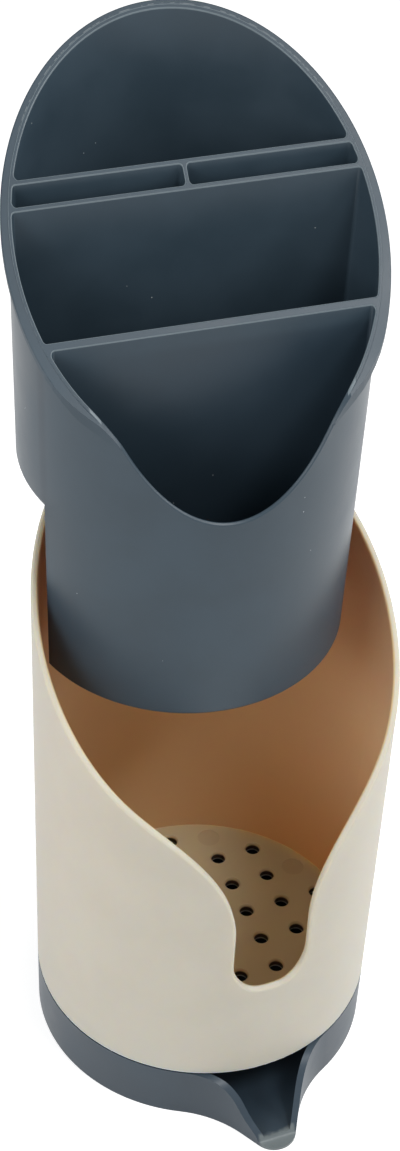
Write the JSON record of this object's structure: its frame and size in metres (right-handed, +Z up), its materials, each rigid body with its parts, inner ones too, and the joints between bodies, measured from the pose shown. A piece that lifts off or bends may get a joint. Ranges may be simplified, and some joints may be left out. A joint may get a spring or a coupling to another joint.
{
  "type": "cutlery drainer",
  "caption": "Round upright cutlery drainer: a slant-rimmed sleeve with a front slot stands on a spouted drip tray and carries a divided lift-out insert.",
  "frame": {"origin": "middle of the drip tray's underside, on the table, on the axis of the sleeve", "axes": "+Z up along the sleeve's axis, the spout and the front slot towards -Y, +X to the right when facing the slot"},
  "size_m": [0.124, 0.1736, 0.363],
  "materials": {
    "slate_plastic": "satin",
    "cream_plastic": "satin"
  },
  "bodies": {
    "tray": {"drip_tray": "slate_plastic"},
    "sleeve": {"outer_sleeve": "cream_plastic"},
    "insert": {"cutlery_insert": "slate_plastic"}
  },
  "joints": [
    {"name": "sleeve_lift", "type": "slide", "parent": "tray", "child": "sleeve", "axis": [0, 0, 1], "range_m": [0, 0.03]},
    {"name": "insert_lift", "type": "slide", "parent": "sleeve", "child": "insert", "axis": [0, 0, 1], "range_m": [0, 0.08]}
  ]
}
